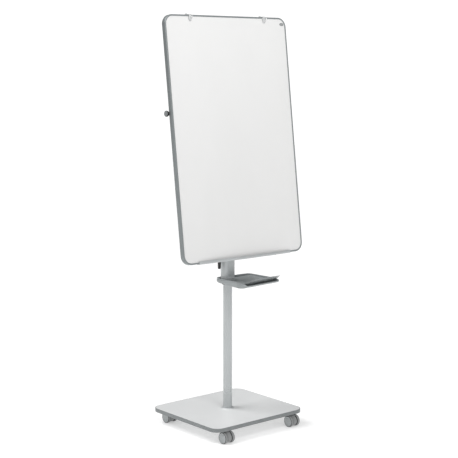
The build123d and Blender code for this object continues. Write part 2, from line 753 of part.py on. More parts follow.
def make_board():
    outer = rounded_slab(board_width, board_height, board_corner_r, board_front, board_back)
    rim_edges = outer.faces().sort_by(Axis.Y)[0].edges() + outer.faces().sort_by(Axis.Y)[-1].edges()
    frame = fillet(rim_edges, frame_edge_r)
    pocket_size = (board_width - 2 * frame_wall, board_height - 2 * frame_wall)
    pocket_r = board_corner_r - frame_wall
    window_size = (board_width - 2 * frame_lip, board_height - 2 * frame_lip)
    window_r = board_corner_r - frame_lip
    frame -= rounded_slab(*pocket_size, pocket_r, pocket_front, pocket_back)
    frame -= rounded_slab(*window_size, window_r, board_front - over, board_back + over)
    save_on_board("board_frame", drilled(frame))

    def layer(y_front, y_back):
        width = pocket_size[0] - 2 * seat_gap
        height = pocket_size[1] - 2 * seat_gap
        return rounded_slab(width, height, pocket_r - seat_gap, y_front, y_back)

    core_front = pocket_front + sheet_thickness
    core_back = pocket_back - sheet_thickness
    save_on_board("writing_sheet", layer(pocket_front, core_front))
    save_on_board("board_core", drilled(layer(core_front, core_back)))
    save_on_board("back_sheet", drilled(layer(core_back, pocket_back)))

    plane = Plane(origin=(board_width / 2 - badge_from_side, pocket_front, board_top - badge_from_top),
                  x_dir=(1, 0, 0), z_dir=(0, -1, 0))
    badge = extrude(plane * Ellipse(badge_length / 2, badge_height / 2), badge_thickness)
    save_on_board("badge", badge)


def make_pen_ledge():
    """A bowed gutter: a floor that runs under the frame and a lip that follows the bow."""
    half = ledge_length / 2
    floor_z = board_bottom - ledge_wall

    def bow(inset):
        tip_y = board_front - ledge_end_depth + inset / 2
        middle_y = board_front - ledge_bow + inset
        span = half - inset
        arc = ThreePointArc((-span, tip_y), (0, middle_y), (span, tip_y))
        back_y = board_front
        back = Polyline((span, tip_y), (span, back_y), (-span, back_y), (-span, tip_y))
        return Plane.XY.offset(floor_z) * make_face(arc + back)

    ledge = extrude(bow(0), ledge_height)
    ledge -= Pos(0, 0, ledge_wall) * extrude(bow(ledge_wall), ledge_height)
    ledge -= upright_box(-half, half, board_front - free_gap, board_front + over,
                         board_bottom, board_bottom + ledge_height)
    foot = upright_box(-half, half, board_front - over, board_front + ledge_foot,
                       floor_z, board_bottom - seat_gap)
    ledge += foot
    save_on_board("pen_ledge", drilled(ledge))


def make_hook(name, x):
    """A clip over the top rail with a strap down the front and a peg that points out and up."""
    top = board_top + free_gap
    front = board_front - free_gap
    back = board_back + free_gap
    x0 = x - hook_width / 2
    x1 = x + hook_width / 2
    strap_bottom = board_top - hook_front_drop
    clip = upright_box(x0, x1, front - hook_strap, back + hook_strap, top, top + hook_strap)
    clip += upright_box(x0, x1, front - hook_strap, front, strap_bottom, top + hook_strap / 2)
    clip += upright_box(x0, x1, back, back + hook_strap, board_top - hook_back_drop, top + hook_strap / 2)
    clip += upright_box(x0, x0 + hook_tab_width, back + hook_strap - hook_tab_depth, back + hook_strap,
                        top, top + hook_strap + hook_tab_height)
    foot_corners = clip.edges().filter_by(Axis.Y).group_by(Axis.Z)[0]
    clip = fillet(foot_corners, hook_foot_r)

    root = Vector(x, front - hook_strap / 2, strap_bottom + hook_foot_r)
    way = Vector(0, -cos(radians(peg_rise)), sin(radians(peg_rise)))
    peg = rod(peg_r, tuple(root), tuple(root + way * peg_length))
    peg = fillet(peg.edges().filter_by(GeomType.CIRCLE).group_by(Axis.Z)[-1], peg_tip_r)
    peg += rod(peg_root_r, tuple(root), tuple(root + way * peg_root_length))
    behind = upright_box(x0, x1, front, back, strap_bottom - hook_foot_r, top)
    save_on_board(name, clip + (peg - behind))


def make_board_fittings():
    ear_space = ear_inner_x - free_gap
    block = rod(ear_r, on_axis(-ear_space), on_axis(ear_space))
    block += upright_box(-ear_space, ear_space, board_back, pivot_neck_back, 0, pivot_neck_top)
    block += upright_box(-pivot_plate_half, pivot_plate_half, board_back, plate_back,
                         pivot_plate_bottom, pivot_plate_top)
    block -= rod(shaft_r + run_fit, on_axis(-sleeve_width), on_axis(sleeve_width))
    save_on_board("pivot_block", drilled(block))

    x0 = support_x - support_width / 2
    x1 = support_x + support_width / 2
    support = rod(ear_r, on_axis(x0), on_axis(x1))
    support += upright_box(x0, x1, board_back, 0, -ear_r, ear_r)
    support += upright_box(x0, x1, board_back, plate_back, -support_plate_half, support_plate_half)
    support -= rod(shaft_r + run_fit, on_axis(x0 - over), on_axis(x1 + over))
    save_on_board("shaft_support", drilled(support))

    screws = [screw(seat, way).solid() for seat, way in board_screw_places()]
    save_on_board("board_screws", Compound(children=screws))


make_base()
make_foot()
make_column()
for place, (stem_x, stem_y) in castor_places.items():
    make_castor(place, stem_x, stem_y)
make_upper_tube()
make_height_clamp()
make_tray_base()
make_tray_dish()
make_tilt_head()
make_tilt_lock()
make_board()
make_pen_ledge()
make_hook("hook_left", hook_left_x)
make_hook("hook_right", hook_right_x)
make_board_fittings()
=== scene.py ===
"""Looks of a mobile flipchart easel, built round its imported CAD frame.

Metres, +Z up, writing side towards -Y, origin on the floor under the column.
"""

import json
import math

import bmesh
import bpy
from mathutils import Matrix, Vector


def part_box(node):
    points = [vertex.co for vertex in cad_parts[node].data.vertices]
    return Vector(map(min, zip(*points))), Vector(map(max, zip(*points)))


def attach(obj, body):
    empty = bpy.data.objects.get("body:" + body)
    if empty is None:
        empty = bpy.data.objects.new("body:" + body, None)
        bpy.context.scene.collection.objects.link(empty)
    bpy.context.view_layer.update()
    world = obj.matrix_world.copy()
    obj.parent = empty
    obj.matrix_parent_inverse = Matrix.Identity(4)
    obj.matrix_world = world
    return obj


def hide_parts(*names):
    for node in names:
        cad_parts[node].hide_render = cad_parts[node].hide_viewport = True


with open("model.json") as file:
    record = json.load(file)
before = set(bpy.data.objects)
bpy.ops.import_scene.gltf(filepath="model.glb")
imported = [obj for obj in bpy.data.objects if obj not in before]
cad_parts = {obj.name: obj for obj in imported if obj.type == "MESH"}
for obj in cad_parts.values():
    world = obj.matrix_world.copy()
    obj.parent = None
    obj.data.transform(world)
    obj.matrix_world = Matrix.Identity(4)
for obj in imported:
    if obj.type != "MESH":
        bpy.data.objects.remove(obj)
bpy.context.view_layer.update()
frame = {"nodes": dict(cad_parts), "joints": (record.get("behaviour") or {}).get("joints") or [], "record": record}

MM = 0.001
GLUE_GAP = 0.05             # left between pieces that sit in one another, in millimetres
CASTORS = ("front_left", "front_right", "rear_left", "rear_right")
JOINTS = {joint["name"]: joint for joint in frame["joints"]}
BOARD_LEAN = math.radians(7.0)          # the board's lean at rest


# ------------------------------------------------------------------------------------------
# Places that the frame gives
# ------------------------------------------------------------------------------------------
def corners(node):
    """Lowest and highest corner of a CAD node."""
    low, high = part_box(node)
    return Vector(low), Vector(high)


def centre(node):
    low, high = corners(node)
    return (low + high) / 2


def size(node):
    low, high = corners(node)
    return high - low


TILT_AXIS = Vector(JOINTS["board_tilt"]["pos_m"])
BOARD_POSE = Matrix.Translation(TILT_AXIS) @ Matrix.Rotation(-BOARD_LEAN, 4, "X")


# ------------------------------------------------------------------------------------------
# Materials
# ------------------------------------------------------------------------------------------
class Recipe:
    """A node material under construction, on Object coordinates."""

    def __init__(self, name, colour, roughness, metallic=0.0):
        self.material = bpy.data.materials.new(name)
        self.material.use_nodes = True
        self.tree = self.material.node_tree
        self.shader = self.tree.nodes["Principled BSDF"]
        self.shader.inputs["Base Color"].default_value = (*colour, 1.0)
        self.shader.inputs["Roughness"].default_value = roughness
        self.shader.inputs["Metallic"].default_value = metallic
        self.where = self.tree.nodes.new("ShaderNodeTexCoord").outputs["Object"]

    def put(self, socket, value):
        self.shader.inputs[socket].default_value = value
        return self

    def link(self, a, b):
        self.tree.links.new(a, b)

    def stretched(self, scale):
        """Coordinates stretched along an axis, for brushed or rolled grain."""
        mapping = self.tree.nodes.new("ShaderNodeMapping")
        mapping.inputs["Scale"].default_value = scale
        self.link(self.where, mapping.inputs["Vector"])
        return mapping.outputs["Vector"]

    def noise(self, scale, detail=3.0, roughness=0.55, at=None):
        node = self.tree.nodes.new("ShaderNodeTexNoise")
        node.inputs["Scale"].default_value = scale
        node.inputs["Detail"].default_value = detail
        node.inputs["Roughness"].default_value = roughness
        self.link(at or self.where, node.inputs["Vector"])
        return node.outputs["Fac"]

    def cells(self, scale, at=None):
        node = self.tree.nodes.new("ShaderNodeTexVoronoi")
        node.inputs["Scale"].default_value = scale
        self.link(at or self.where, node.inputs["Vector"])
        return node.outputs["Distance"]

    def spread(self, value, low, high, start=0.3, end=0.7):
        """Value from start to end, spread over low to high."""
        node = self.tree.nodes.new("ShaderNodeMapRange")
        node.inputs["From Min"].default_value = start
        node.inputs["From Max"].default_value = end
        node.inputs["To Min"].default_value = low
        node.inputs["To Max"].default_value = high
        self.link(value, node.inputs["Value"])
        return node.outputs["Result"]

    def tint(self, value, dark, light, start=0.3, end=0.7):
        """Value from start to end, turned into a colour between dark and light."""
        ramp = self.tree.nodes.new("ShaderNodeValToRGB")
        ramp.color_ramp.elements[0].position = start
        ramp.color_ramp.elements[0].color = (*dark, 1.0)
        ramp.color_ramp.elements[1].position = end
        ramp.color_ramp.elements[1].color = (*light, 1.0)
        self.link(value, ramp.inputs["Fac"])
        return ramp.outputs["Color"]

    def colour_from(self, value, dark, light, start=0.3, end=0.7):
        self.link(self.tint(value, dark, light, start, end), self.shader.inputs["Base Color"])
        return self

    def roughness_from(self, value, low, high, start=0.3, end=0.7):
        self.link(self.spread(value, low, high, start, end), self.shader.inputs["Roughness"])
        return self

    def bump(self, value, depth, strength=1.0):
        """Relief of a value, depth in metres."""
        node = self.tree.nodes.new("ShaderNodeBump")
        node.inputs["Strength"].default_value = strength
        node.inputs["Distance"].default_value = depth
        self.link(value, node.inputs["Height"])
        previous = self.shader.inputs["Normal"].links
        if previous:
            self.link(previous[0].from_socket, node.inputs["Normal"])
        self.link(node.outputs["Normal"], self.shader.inputs["Normal"])
        return self


def grey(value, cool=0.0):
    """A grey, a little towards blue-green by cool."""
    return (value * (1 - cool), value * (1 + 0.3 * cool), value * (1 + 0.6 * cool))


def powder_coat(name, light, roughness, cool=0.02):
    """Silver-grey powder coat: fine orange peel, metallic flake, slight handling wear."""
    recipe = Recipe(name, grey(light, cool), roughness, 0.35)
    flake = recipe.cells(2600.0)
    recipe.colour_from(flake, grey(light * 0.93, cool), grey(light * 1.05, cool), 0.1, 0.6)
    recipe.roughness_from(recipe.noise(9.0, 5.0), roughness - 0.05, roughness + 0.07)
    recipe.bump(recipe.noise(1400.0, 2.0), 0.00004, 0.5)
    recipe.bump(recipe.noise(260.0, 2.0), 0.00008, 0.25)
    return recipe.material


def moulded_plastic(name, light, roughness=0.5, cool=0.02, grain=1800.0, relief=0.00006):
    """Spark-eroded moulding grain over faint flow variation."""
    recipe = Recipe(name, grey(light, cool), roughness)
    recipe.colour_from(recipe.noise(24.0, 4.0), grey(light * 0.95, cool), grey(light * 1.05, cool))
    recipe.roughness_from(recipe.noise(60.0, 4.0), roughness - 0.06, roughness + 0.08)
    recipe.bump(recipe.noise(grain, 3.0), relief, 0.6)
    return recipe.material


def satin_aluminium(name, light, roughness=0.38, along=(1.0, 1.0, 1.0), cool=0.03):
    """Anodised extrusion with fine die lines along its length."""
    recipe = Recipe(name, grey(light, cool), roughness, 0.55)
    lines = recipe.noise(900.0, 2.0, at=recipe.stretched(along))
    recipe.colour_from(recipe.noise(14.0, 4.0), grey(light * 0.95, cool), grey(light * 1.04, cool))
    recipe.roughness_from(lines, roughness - 0.06, roughness + 0.08)
    recipe.bump(lines, 0.00003, 0.4)
    return recipe.material


def base_laminate():
    """Light grey melamine with a fine pearl texture and the faint haze of use."""
    recipe = Recipe("base_laminate", grey(0.70), 0.3)
    recipe.colour_from(recipe.noise(5.0, 6.0), grey(0.69, 0.01), grey(0.72, 0.01))
    recipe.roughness_from(recipe.noise(11.0, 3.0), 0.38, 0.46)
    recipe.bump(recipe.noise(160.0, 1.0), 0.00001, 0.15)
    return recipe.material


def white_enamel():
    """Glossy vitreous enamel on steel, with slight orange peel and wiped-off marker haze."""
    recipe = Recipe("white_enamel", grey(0.8), 0.16)
    haze = recipe.noise(3.2, 6.0, 0.6, at=recipe.stretched((1.0, 1.0, 0.35)))
    recipe.colour_from(haze, (0.742, 0.742, 0.737), (0.766, 0.766, 0.762))
    recipe.roughness_from(haze, 0.13, 0.24)
    recipe.bump(recipe.noise(140.0, 2.0), 0.00003, 0.2)
    recipe.put("Coat Weight", 0.4).put("Coat Roughness", 0.08)
    return recipe.material


def black_plastic(name="black_plastic"):
    recipe = Recipe(name, grey(0.01), 0.42)
    recipe.colour_from(recipe.noise(50.0, 4.0), grey(0.007), grey(0.014))
    recipe.roughness_from(recipe.noise(120.0, 4.0), 0.34, 0.5)
    recipe.bump(recipe.noise(2200.0, 2.0), 0.00005, 0.5)
    return recipe.material


def zinc_steel():
    """Zinc-plated steel: bright, mottled, a little yellow in places."""
    recipe = Recipe("zinc_steel", (0.56, 0.57, 0.57), 0.3, 0.95)
    mottle = recipe.noise(130.0, 5.0)
    recipe.colour_from(mottle, (0.46, 0.47, 0.48), (0.62, 0.62, 0.59))
    recipe.roughness_from(recipe.noise(420.0, 3.0), 0.22, 0.4)
    recipe.bump(recipe.noise(900.0, 2.0), 0.00002, 0.4)
    return recipe.material


def cast_aluminium():
    """Die-cast bracket metal: sandy skin, darker pores."""
    recipe = Recipe("cast_aluminium", grey(0.36), 0.5, 0.7)
    recipe.colour_from(recipe.cells(700.0), grey(0.3), grey(0.4), 0.05, 0.5)
    recipe.roughness_from(recipe.noise(200.0, 5.0), 0.42, 0.6)
    recipe.bump(recipe.noise(1300.0, 4.0), 0.00012, 0.6)
    return recipe.material


def raw_board():
    """Chipboard edge and face: pressed chips of uneven colour."""
    recipe = Recipe("raw_board", (0.5, 0.38, 0.24), 0.8)
    recipe.colour_from(recipe.cells(220.0), (0.36, 0.25, 0.14), (0.6, 0.47, 0.31), 0.05, 0.6)
    recipe.bump(recipe.cells(260.0), 0.0002, 0.5)
    return recipe.material


def clear_plastic():
    """Milky translucent moulding of the pad hooks."""
    recipe = Recipe("clear_plastic", grey(0.80, 0.01), 0.22)
    recipe.colour_from(recipe.noise(90.0, 3.0), grey(0.74, 0.012), grey(0.84, 0.008))
    recipe.roughness_from(recipe.noise(200.0, 3.0), 0.16, 0.3)
    recipe.bump(recipe.noise(500.0, 2.0), 0.00003, 0.3)
    recipe.put("Transmission Weight", 0.35).put("IOR", 1.49)
    return recipe.material


def tyre_rubber():
    recipe = Recipe("tyre_rubber", grey(0.22, 0.02), 0.5)
    recipe.colour_from(recipe.noise(70.0, 5.0), grey(0.23, 0.02), grey(0.30, 0.02))
    recipe.roughness_from(recipe.noise(160.0, 5.0), 0.5, 0.72)
    recipe.bump(recipe.noise(900.0, 4.0), 0.0001, 0.6)
    return recipe.material


PALETTE = {
    "base_laminate": base_laminate(),
    "edge_plastic": moulded_plastic("edge_plastic", 0.21, 0.42, 0.05),
    "zinc_steel": zinc_steel(),
    "column_paint": powder_coat("column_paint", 0.48, 0.3, 0.035),
    "sleeve_paint": powder_coat("sleeve_paint", 0.50, 0.32, 0.035),
    "bearing_plastic": moulded_plastic("bearing_plastic", 0.62, 0.4),
    "black_plastic": black_plastic(),
    "tray_plastic": moulded_plastic("tray_plastic", 0.32, 0.34, 0.05),
    "cast_aluminium": cast_aluminium(),
    "frame_aluminium": satin_aluminium("frame_aluminium", 0.28, 0.4, (6.0, 6.0, 0.4), 0.06),
    "white_enamel": white_enamel(),
    "core_board": raw_board(),
    "back_steel": powder_coat("back_steel", 0.45, 0.42),
    "badge_plastic": moulded_plastic("badge_plastic", 0.32, 0.35),
    "ledge_aluminium": satin_aluminium("ledge_aluminium", 0.52, 0.36, (0.3, 6.0, 6.0), 0.03),
    "clear_plastic": clear_plastic(),
    # castor_black is the stems' own black; on the wheels it also serves as painted shade
    "castor_black": black_plastic("castor_black"),
    "castor_grey": moulded_plastic("castor_grey", 0.41, 0.42, 0.04),
}


def dress_cad_nodes():
    """Every CAD node gets the worked-out material of its slot."""
    for part in frame["record"]["subparts"]:
        node = frame["nodes"][part["node"]]
        node.data.materials.clear()
        node.data.materials.append(PALETTE[part["material_slot"]])


dress_cad_nodes()

# ------------------------------------------------------------------------------------------
# Mesh helpers
# ------------------------------------------------------------------------------------------
SMOOTH_BELOW = math.radians(32)     # edges flatter than this are shaded round


def shade(mesh):
    mesh.shade_smooth()
    mesh.set_sharp_from_angle(angle=SMOOTH_BELOW)


def place_piece(obj, body, slot, *nodes):
    """A finished piece moves with its body and stands for its CAD nodes, which are hidden; its slot is not used.
    """
    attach(obj, body)
    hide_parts(*nodes)
    return obj


def object_from(bm, name, materials):
    """An object at the origin from a bmesh given in metres."""
    bmesh.ops.remove_doubles(bm, verts=bm.verts, dist=1e-7)
    bmesh.ops.recalc_face_normals(bm, faces=bm.faces)
    mesh = bpy.data.meshes.new(name)
    bm.to_mesh(mesh)
    bm.free()
    shade(mesh)
    for material in materials:
        mesh.materials.append(material)
    obj = bpy.data.objects.new(name, mesh)
    bpy.context.collection.objects.link(obj)
    return obj


def settle(obj):
    """Turns the object's live modifiers into a plain mesh."""
    bpy.context.view_layer.update()
    evaluated = obj.evaluated_get(bpy.context.evaluated_depsgraph_get())
    mesh = bpy.data.meshes.new_from_object(evaluated)
    obj.modifiers.clear()
    obj.data = mesh
    return obj


def soften(node, body, slot, radius, segments=3, keep_angle=30.0):
    """A CAD node's shape with its sharp edges rounded, in millimetres."""
    bm = bmesh.new()
    bm.from_mesh(frame["nodes"][node].data)
    bmesh.ops.remove_doubles(bm, verts=bm.verts, dist=2e-6)
    bmesh.ops.dissolve_limit(bm, angle_limit=math.radians(0.6), verts=bm.verts, edges=bm.edges)
    mesh = bpy.data.meshes.new(node + "_soft")
    bm.to_mesh(mesh)
    bm.free()
    obj = bpy.data.objects.new(node + "_soft", mesh)
    bpy.context.collection.objects.link(obj)
    mesh.materials.append(PALETTE[slot])
    bevel = obj.modifiers.new("edges", "BEVEL")
    bevel.width = radius * MM
    bevel.segments = segments
    bevel.limit_method = "ANGLE"
    bevel.angle_limit = math.radians(keep_angle)
    bevel.use_clamp_overlap = True
    bevel.harden_normals = False
    settle(obj)
    shade(obj.data)
    return place_piece(obj, body, slot, node)


def bridge(bm, loops, closed_across=False, close_ends=True, paint=None):
    """Faces between consecutive closed loops of points; ends are closed with one face each."""
    rings = [[bm.verts.new(point) for point in loop] for loop in loops]
    pairs = list(zip(rings, rings[1:]))
    if closed_across:
        pairs.append((rings[-1], rings[0]))
    for index, (a, b) in enumerate(pairs):
        for i in range(len(a)):
            j = (i + 1) % len(a)
            face = bm.faces.new((a[i], a[j], b[j], b[i]))
            if paint:
                face.material_index = paint(index)
    if close_ends and not closed_across:
        bm.faces.new(rings[0][::-1])
        bm.faces.new(rings[-1])
    return rings


def lathe(profile, origin, axis, steps=72, wave=None):
    """Loops of a turned shape: profile is (radius, distance along the axis) in millimetres."""
    along = Vector(axis).normalized()
    across = along.orthogonal().normalized()
    beside = along.cross(across)
    loops = []
    for index, (radius, distance) in enumerate(profile):
        loop = []
        for step in range(steps):
            angle = 2 * math.pi * step / steps
            here = radius * (wave(index, angle) if wave else 1.0)
            loop.append(Vector(origin) + (along * distance
                        + (across * math.cos(angle) + beside * math.sin(angle)) * here) * MM)
        loops.append(loop)
    return loops


def arc(centre_a, centre_b, radius, start, end, steps):
    """Points of an arc in a profile's plane, angles in degrees."""
    return [(centre_a + radius * math.cos(math.radians(start + (end - start) * i / steps)),
             centre_b + radius * math.sin(math.radians(start + (end - start) * i / steps)))
            for i in range(steps + 1)]


def rounded_rectangle(width, height, radius, inset, corner_steps=14):
    """Points (a, b) of a rounded rectangle, moved inwards by inset, about its centre."""
    half_a, half_b, r = width / 2 - inset, height / 2 - inset, max(radius - inset, 0.5)
    points = []
    for quarter, (sa, sb) in enumerate(((1, 1), (-1, 1), (-1, -1), (1, -1))):
        points += arc(sa * (half_a - r), sb * (half_b - r), r, 90 * quarter, 90 * quarter + 90, corner_steps)
    return points


# ------------------------------------------------------------------------------------------
# Castors
# ------------------------------------------------------------------------------------------
TREAD_STARTS = 22.5         # wheel's grey face inside this radius, tyre outside, in millimetres
WHEEL_PROFILE = (
    [(0.0, 14.4), (2.6, 14.4), (3.0, 15.2), (7.0, 15.75), (13.6, 15.3), (14.6, 14.5), (15.2, 13.9)]
    + [(16.4, 13.9), (17.0, 14.4), (18.0, 15.0), (21.0, 15.3), (22.1, 15.0), (22.4, 14.4)]
    + [(22.6, 14.4), (22.8, 14.9)] + arc(22.9, 12.9, 2.1, 85, 0, 6)
    + [(25.0, 9.2), (24.4, 8.7), (24.4, 7.3), (25.0, 6.8), (25.0, 4.2), (24.6, 3.4), (23.6, 2.9)]
    + [(20.6, 2.7), (20.4, 0.2), (20.0, 1.2), (9.6, 1.2), (9.0, 0.2), (4.1, 0.2), (4.1, 12.6), (0.0, 12.6)]
)


def make_wheel(castor, side):
    node = f"castor_{castor}_wheel_{side}"
    low, high = corners(node)
    middle = (low + high) / 2
    outwards = -1 if side == "left" else 1
    inner_x = high.x if side == "left" else low.x
    bm = bmesh.new()

    def finish_and_painted_shade_of(index):
        """Grey face and tyre tread; the tyre's outer shoulder and the wheel's inner side by the hood in black, as
        painted shade.
        """
        (radius_a, distance_a), (radius_b, distance_b) = WHEEL_PROFILE[index:index + 2]
        radius, distance = (radius_a + radius_b) / 2, (distance_a + distance_b) / 2
        if radius < TREAD_STARTS and distance > 3.0:
            return 0
        # index 2 is painted shade: black on the tyre's outer shoulder and on the wheel's inner side by the hood
        return 1 if 2.9 < distance < 14.0 else 2

    bridge(bm, lathe(WHEEL_PROFILE, (inner_x, middle.y, middle.z), (outwards, 0, 0)), paint=finish_and_painted_shade_of)
    bmesh.ops.remove_doubles(bm, verts=bm.verts, dist=1e-6)
    # the third material, castor_black, is painted shade on the wheel, not a black part
    obj = object_from(bm, node + "_turned", [PALETTE["castor_grey"], TYRE, PALETTE["castor_black"]])
    place_piece(obj, node, "castor_grey", node)


def make_castor(castor):
    for side in ("left", "right"):
        make_wheel(castor, side)
    hood = soften(f"castor_{castor}_hood", f"castor_{castor}", "castor_grey", 1.6, 4)
    hood.data.materials[0] = HOOD
    soften(f"castor_{castor}_stem", "base", "castor_black", 0.6)


# ------------------------------------------------------------------------------------------
# Base and column
# ------------------------------------------------------------------------------------------
BASE_CORNER = 45.0          # corner radius of the base over its band
BAND_ARRIS = 1.4            # rounding of the band's edges


def make_base_board():
    """Laminated board and its edge band, with the band's rounded arrises."""
    band_low, band_high = corners("base_edge_band")
    wall = (corners("base_plate")[0].x - band_low.x) / MM
    width, depth = size("base_edge_band").x / MM, size("base_edge_band").y / MM
    thickness = (band_high.z - band_low.z) / MM
    middle = Vector((0, 0, band_low.z))

    def loop(inset, height):
        outline = rounded_rectangle(width, depth, BASE_CORNER, inset)
        return [middle + Vector((a, b, height)) * MM for a, b in outline]

    inset, arris = wall + GLUE_GAP, 0.3
    bm = bmesh.new()
    bridge(bm, [loop(inset + arris, 0.0), loop(inset, arris), loop(inset, thickness - 0.25),
                loop(inset + 0.25, thickness)])
    obj = object_from(bm, "base_board", [PALETTE["base_laminate"]])
    place_piece(obj, "base", "base_laminate", "base_plate")

    r = BAND_ARRIS
    section = [(wall, 0.0)] + [(r - a, b) for a, b in arc(0.0, r, r, -90, 0, 5)]
    section += [(r - a, b) for a, b in arc(0.0, thickness - r, r, 0, 90, 5)] + [(wall, thickness)]
    bm = bmesh.new()
    bridge(bm, [loop(inset, height) for inset, height in section], closed_across=True)
    obj = object_from(bm, "base_band", [PALETTE["edge_plastic"]])
    place_piece(obj, "base", "edge_plastic", "base_edge_band")


def make_foot_ring():
    low, high = corners("column_foot_ring")
    outer = size("column_foot_ring").x / 2 / MM
    inner = size("column_tube").x / 2 / MM + GLUE_GAP
    height = (high.z - low.z) / MM
    profile = [(inner, 0.0), (outer, 0.0), (outer, 0.6)]
    profile += [(outer - 0.9, 1.5), (outer - 2.6, 2.1), (inner + 2.0, height - 0.1), (inner, height)]
    bm = bmesh.new()
    bridge(bm, lathe(profile, (0, 0, low.z), (0, 0, 1), 96), closed_across=True)
    place_piece(object_from(bm, "foot_collar", [COLLAR]), "base", "column_paint", "column_foot_ring")


# ------------------------------------------------------------------------------------------
# Board
# ------------------------------------------------------------------------------------------
BOARD_WIDTH = 680.0
BOARD_HEIGHT = 1050.0
BOARD_CORNER = 42.0
BOARD_FRONT = -31.0         # faces of the board, measured from the tilt axis
BOARD_BACK = -9.0
BOARD_MIDDLE_Z = -114.0
BOARD_BOTTOM = BOARD_MIDDLE_Z - BOARD_HEIGHT / 2
FRAME_LIP = 7.0
FRAME_WALL = 2.0
FRAME_EDGE = 2.5


def on_board(x, y, z):
    """A point of the board's own frame, in millimetres, as a place on the easel."""
    return BOARD_POSE @ (Vector((x, y, z)) * MM)


def make_board_frame():
    """An extruded channel bent round the board: front lip, side, back lip."""
    section = [(FRAME_LIP, BOARD_FRONT + FRAME_WALL), (FRAME_LIP, BOARD_FRONT + 0.8),
               (FRAME_LIP - 0.25, BOARD_FRONT + 0.25), (FRAME_LIP - 0.8, BOARD_FRONT)]
    section += [(FRAME_EDGE - a, BOARD_FRONT + FRAME_EDGE - b) for a, b in arc(0, 0, FRAME_EDGE, 90, 0, 6)]
    section += [(FRAME_EDGE - a, BOARD_BACK - FRAME_EDGE + b) for a, b in arc(0, 0, FRAME_EDGE, 0, 90, 6)]
    section += [(FRAME_LIP - 0.8, BOARD_BACK), (FRAME_LIP, BOARD_BACK - 0.8)]
    section += [(FRAME_LIP, BOARD_BACK - FRAME_WALL), (FRAME_WALL, BOARD_BACK - FRAME_WALL),
                (FRAME_WALL, BOARD_FRONT + FRAME_WALL)]
    loops = []
    for inset, y in section:
        outline = rounded_rectangle(BOARD_WIDTH, BOARD_HEIGHT, BOARD_CORNER, inset, 20)
        loops.append([on_board(a, y, BOARD_MIDDLE_Z + b) for a, b in outline])
    bm = bmesh.new()
    bridge(bm, loops, closed_across=True)
    obj = object_from(bm, "board_channel", [PALETTE["frame_aluminium"]])
    place_piece(obj, "board", "frame_aluminium", "board_frame")


LEDGE_HALF = 261.0
LEDGE_BOW = 14.0
LEDGE_END = 3.0
LEDGE_WALL = 2.5
LEDGE_HEIGHT = 13.0
LEDGE_FOOT = 15.0


def make_pen_ledge():
    """A bowed gutter under the board's lower edge, closed at its ends."""
    sag = LEDGE_BOW - LEDGE_END
    radius = (LEDGE_HALF ** 2 + sag ** 2) / (2 * sag)
    floor = BOARD_BOTTOM
    top = floor - LEDGE_WALL + LEDGE_HEIGHT

    def section(x, hollow):
        front = BOARD_FRONT - LEDGE_BOW + radius - math.sqrt(radius ** 2 - x ** 2)
        inner = front + LEDGE_WALL
        low = floor if hollow else top - 0.5
        points = [(BOARD_FRONT + LEDGE_FOOT, floor - 0.1), (BOARD_FRONT + LEDGE_FOOT, floor - LEDGE_WALL)]
        points += [(front + 1.5 - a, floor - LEDGE_WALL + 1.5 - b) for a, b in arc(0, 0, 1.5, 90, 0, 4)]
        points += [(front + 1.2 - a, top - 1.2 + b) for a, b in arc(0, 0, 1.2, 0, 140, 6)]
        points += [(inner, top - 0.9), (inner, low + 0.9), (inner + 0.3, low + 0.3), (inner + 0.9, low)]
        points += [(max(BOARD_FRONT - 0.2, inner + 1.0), low), (BOARD_FRONT - 0.15, floor - 0.1)]
        return [on_board(x, y, z) for y, z in points]

    wall_x = LEDGE_HALF - LEDGE_WALL
    stations = [(-LEDGE_HALF, False), (-wall_x, False), (-wall_x + 0.1, True)]
    steps = 48
    stations += [(-wall_x + 2 * wall_x * i / steps, True) for i in range(1, steps)]
    stations += [(wall_x - 0.1, True), (wall_x, False), (LEDGE_HALF, False)]
    bm = bmesh.new()
    bridge(bm, [section(x, hollow) for x, hollow in stations])
    place_piece(object_from(bm, "ledge_gutter", [PALETTE["ledge_aluminium"]]), "board", "ledge_aluminium",
                "pen_ledge")


def make_badge():
    """A small plain oval: a raised rim round a darker field."""
    middle = BOARD_POSE.inverted() @ centre("badge")
    middle_x, middle_z = middle.x / MM, middle.z / MM
    half_width, half_height = size("badge").x / 2 / MM, 7.0
    foot = BOARD_FRONT + FRAME_WALL
    rings = [(1.0, 0.0), (1.0, 0.5), (0.95, 0.75), (0.86, 0.8), (0.80, 0.7), (0.78, 0.5), (0.4, 0.5),
             (0.02, 0.5)]
    steps = 48
    loops = []
    for share, rise in rings:
        loop = []
        for i in range(steps):
            angle = 2 * math.pi * i / steps
            loop.append(on_board(middle_x + half_width * share * math.cos(angle), foot - rise,
                                 middle_z + half_height * share * math.sin(angle)))
        loops.append(loop)
    bm = bmesh.new()
    bridge(bm, loops, paint=lambda index: 0 if index < 5 else 1)
    obj = object_from(bm, "oval_badge", [PALETTE["edge_plastic"], PALETTE["badge_plastic"]])
    place_piece(obj, "board", "badge_plastic", "badge")


